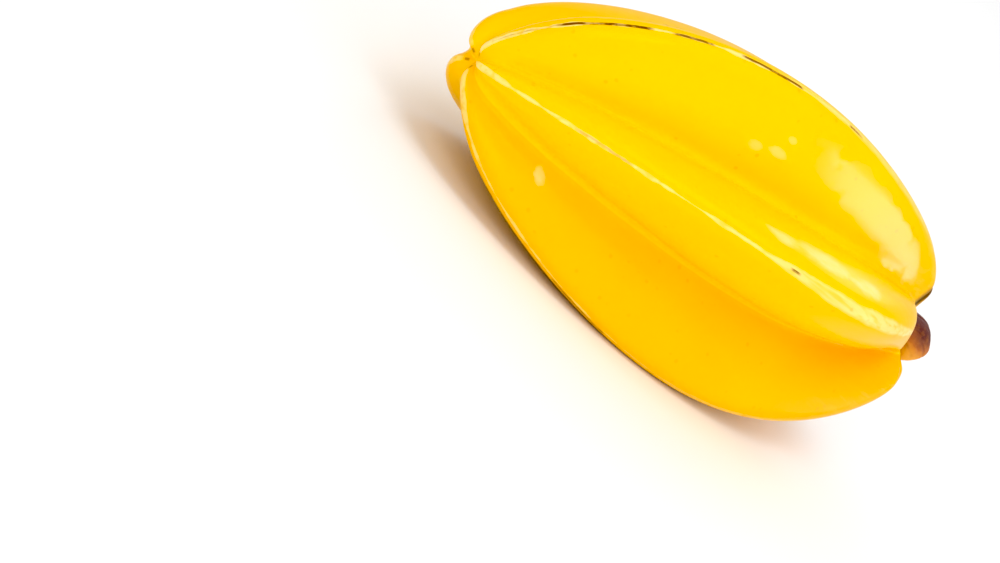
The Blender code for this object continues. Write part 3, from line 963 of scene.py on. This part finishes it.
def stub_profile(t):
    """Stations of the stub: distance along it, radius, and how far they are cut face."""
    wall, rim, disc = 48, 14, 18
    swelling = t.radius - t.foot_radius
    profile = [(0.0, t.foot_radius - STUB_ROUNDING, 0.0), (STUB_ROUNDING, t.foot_radius, 0.0)]
    for k in range(wall + 1):
        share = k / wall
        along = STUB_COLLAR + share * (t.length - STUB_COLLAR - STUB_RIM)
        radius = t.foot_radius + swelling * math.sin(0.5 * math.pi * share) ** 2
        profile.append((along, radius, 0.0))
    for k in range(1, rim + 1):
        turn = 0.5 * math.pi * k / rim
        profile.append((t.length - STUB_RIM * (1 - math.sin(turn)),
                        t.radius - STUB_RIM * (1 - math.cos(turn)), 0.5 * k / rim))
    for k in range(1, disc):
        share = 1 - k / disc
        profile.append((t.length - STUB_DISH * (1 - share ** 2), (t.radius - STUB_RIM) * share, 1.0))
    return profile


def stub_crack(along, angle, radius, face, t):
    """How deep a furrow of the bark or a crack of the cut face is, from 0 to about 1."""
    spot = Vector((along * 260, math.cos(angle) * 6, math.sin(angle) * 6))
    if face < 1.0:
        return max(0.0, noise.noise(spot + Vector((3, 1, 7)))) ** 1.5
    crack = max(0.0, math.sin(9 * angle + 3 * noise.noise(spot * 0.5))) ** 6
    return crack * min(1.0, 2 * radius / (t.radius - STUB_RIM))


class STARFRUIT_OT_stalk(bpy.types.Operator):
    """Makes the stub of the stalk: furrowed bark, a rounded rim and a cracked cut face"""

    bl_idname = "starfruit.stalk"
    bl_label = "Stalk Stub"

    def execute(self, context):
        s = context.scene.star_fruit
        t = context.scene.star_fruit_stalk
        sides = 160
        rings, faces, furrows = [], [], []
        for along, radius, face in stub_profile(t):
            centre, bent = stub_middle(along, t)
            ring = []
            for k in range(sides):
                angle = 2 * math.pi * k / sides
                swollen = max(radius - t.foot_radius, 0.0)
                missing = STUB_UNDERSIDE * swollen * (0.5 + 0.5 * math.cos(angle))
                own = (radius - missing) * (1 - STUB_LOBING * (1 - math.cos(SEPALS * angle)))
                crack = stub_crack(along, angle, radius, face, t)
                own -= FURROW_DEPTH * crack * min(1.0, along / 0.002) * (face < 1.0)
                drop = CRACK_DEPTH * crack * (face >= 1.0)
                across = own * math.cos(angle)
                ring.append(centre + np.array([-across * math.sin(bent) - drop,
                                               across * math.cos(bent), own * math.sin(angle)]))
                faces.append(face)
                furrows.append(min(1.0, crack * 1.4))
            rings.append(ring)
        where = seat(s, t.side)
        tip = stub_middle(t.length - STUB_DISH, t)[0]
        mesh = closed_mesh("stalk_stub", placed(np.array(rings), where),
                           placed(np.zeros(3), where), placed(tip, where))
        add_values(mesh, "face", faces + [0.0, 1.0])
        add_values(mesh, "furrow", furrows + [0.0, 0.6])
        add_piece("stalk_stub", mesh, bark_material(t), "stem_stub")
        return {'FINISHED'}


class STARFRUIT_OT_calyx(bpy.types.Operator):
    """Makes the calyx: a dry collar with five blunt sepals"""

    bl_idname = "starfruit.calyx"
    bl_label = "Calyx"

    def execute(self, context):
        s = context.scene.star_fruit
        t = context.scene.star_fruit_stalk
        inner = t.foot_radius + GAP
        sides, steps = 240, 14
        loops, veins = [], []
        for k in range(sides):
            angle = 2 * math.pi * k / sides
            lobe = (0.5 + 0.5 * math.cos(SEPALS * angle)) ** SEPAL_BLUNTNESS
            outer = CALYX_RING + (t.calyx_reach - CALYX_RING) * lobe
            vein = abs(math.cos(0.5 * SEPALS * angle)) ** 24
            loop = []
            for way, height in ((1, 0.0), (-1, CALYX_THICKNESS)):
                for step in range(steps + 1)[::way]:
                    share = step / steps
                    radius = inner + (outer - inner) * share
                    droop = CALYX_SAG * ((radius - inner) / (t.calyx_reach - inner)) ** 2
                    spot = Vector((share * 3, 5 * math.cos(angle), 5 * math.sin(angle)))
                    crumple = 0.05 * height * noise.noise(spot)
                    x = height * (1 - CALYX_TIP_THINNING * share ** 2) - droop + crumple
                    loop.append((x, radius * math.cos(angle), radius * math.sin(angle)))
                    veins.append(vein)
            loops.append(loop)
        points = placed(np.array(loops), seat(s, math.radians(CALYX_ANGLE)))
        count, width = points.shape[:2]
        faces = []
        for k in range(count):
            following = (k + 1) % count
            for i in range(width):
                j = (i + 1) % width
                faces.append((k * width + i, k * width + j, following * width + j,
                              following * width + i))
        mesh = bpy.data.meshes.new("calyx_ring")
        mesh.from_pydata(points.reshape(-1, 3).tolist(), [], faces)
        mesh.shade_smooth()
        add_values(mesh, "vein", veins)
        add_piece("calyx_ring", mesh, calyx_material(t), "calyx")
        return {'FINISHED'}


def towards(azimuth, elevation):
    """Unit vector at an azimuth from +X and an elevation."""
    return Vector((math.cos(azimuth) * math.cos(elevation), math.sin(azimuth) * math.cos(elevation),
                   math.sin(elevation)))


def add_light(name, azimuth, elevation, distance, width, height, power):
    """Soft rectangular light round the fruit, aimed at it, and not seen by the camera."""
    light = bpy.data.lights.new(name, 'AREA')
    light.shape = 'RECTANGLE'
    light.size, light.size_y = width, height
    light.energy = power
    lamp = bpy.data.objects.new(name, light)
    away = towards(math.radians(azimuth), math.radians(elevation))
    lamp.location = Vector(LIT_PLACE) + away * distance
    lamp.rotation_euler = away.to_track_quat('Z', 'Y').to_euler()
    lamp.visible_camera = False
    bpy.context.scene.collection.objects.link(lamp)


def add_floor(p):
    """Plain pale floor just under the fruit."""
    half = 0.5 * p.floor_size
    mesh = bpy.data.meshes.new("floor")
    mesh.from_pydata([(-half, -half, 0), (half, -half, 0), (half, half, 0), (-half, half, 0)],
                     [], [(0, 1, 2, 3)])
    mesh.materials.append(floor_material(p))
    floor = bpy.data.objects.new("floor", mesh)
    floor.location.z = -0.0001
    bpy.context.scene.collection.objects.link(floor)


def add_surround(p):
    """Even white light from all round."""
    world = bpy.data.worlds.new("studio")
    world.use_nodes = True
    background = world.node_tree.nodes["Background"]
    background.inputs["Color"].default_value = (1.0, 1.0, 1.0, 1.0)
    background.inputs["Strength"].default_value = p.surround
    bpy.context.scene.world = world


def add_camera(p):
    """Camera aimed at a point, turned about its line of sight."""
    back = towards(p.azimuth, p.elevation)
    level = Vector((0, 0, 1)).cross(back).normalized()
    upright = back.cross(level)
    right = level * math.cos(p.roll) + upright * math.sin(p.roll)
    up = upright * math.cos(p.roll) - level * math.sin(p.roll)
    turn = Matrix((right, up, back)).transposed()
    camera_data = bpy.data.cameras.new("camera")
    camera_data.lens = p.lens
    camera_data.sensor_width = 36.0
    camera_data.clip_start = 0.01
    camera_data.clip_end = 100.0
    camera = bpy.data.objects.new("camera", camera_data)
    camera.matrix_world = Matrix.Translation(Vector(p.aim) + back * p.distance) @ turn.to_4x4()
    bpy.context.scene.collection.objects.link(camera)
    bpy.context.scene.camera = camera


class STARFRUIT_OT_stage(bpy.types.Operator):
    """Makes the pale floor, the soft light and the camera"""

    bl_idname = "starfruit.stage"
    bl_label = "Studio"

    def execute(self, context):
        p = context.scene.star_fruit_stage
        add_floor(p)
        add_surround(p)
        add_camera(p)
        for name, azimuth, elevation, distance, width, height, power in LIGHTS:
            add_light(name, azimuth, elevation, distance, width, height, getattr(p, power))
        view = context.scene.view_settings
        view.view_transform = 'Standard'
        view.use_curve_mapping = True
        view.curve_mapping.black_level = (p.black_point,) * 3
        return {'FINISHED'}


class STARFRUIT_PT_panel(bpy.types.Panel):
    """Lists the settings and the pieces in the order in which they are made"""

    bl_label = "Star Fruit"
    bl_idname = "STARFRUIT_PT_panel"
    bl_space_type = 'VIEW_3D'
    bl_region_type = 'UI'
    bl_category = "Star Fruit"

    def draw(self, context):
        for group in PROPERTY_GROUPS:
            settings = getattr(context.scene, group[0])
            box = self.layout.box()
            box.label(text=group[2])
            for name in settings.__annotations__:
                box.prop(settings, name)
        for operator in OPERATORS:
            self.layout.operator(operator.bl_idname)


PROPERTY_GROUPS = (
    ("star_fruit", FruitSettings, "Fruit"),
    ("star_fruit_finish", FinishSettings, "Skin"),
    ("star_fruit_stalk", StalkSettings, "Stalk and Calyx"),
    ("star_fruit_stage", StageSettings, "Studio"),
)
OPERATORS = (STARFRUIT_OT_fruit, STARFRUIT_OT_stalk, STARFRUIT_OT_calyx, STARFRUIT_OT_stage)


def register():
    for name, group, label in PROPERTY_GROUPS:
        bpy.utils.register_class(group)
        setattr(bpy.types.Scene, name, PointerProperty(type=group, name=label))
    for operator in OPERATORS:
        bpy.utils.register_class(operator)
    bpy.utils.register_class(STARFRUIT_PT_panel)


def unregister():
    bpy.utils.unregister_class(STARFRUIT_PT_panel)
    for operator in reversed(OPERATORS):
        bpy.utils.unregister_class(operator)
    for name, group, _ in reversed(PROPERTY_GROUPS):
        delattr(bpy.types.Scene, name)
        bpy.utils.unregister_class(group)


def main():
    register()
    bpy.ops.starfruit.fruit()
    bpy.ops.starfruit.stalk()
    bpy.ops.starfruit.calyx()
    bpy.ops.starfruit.stage()


if __name__ == "__main__":
    main()
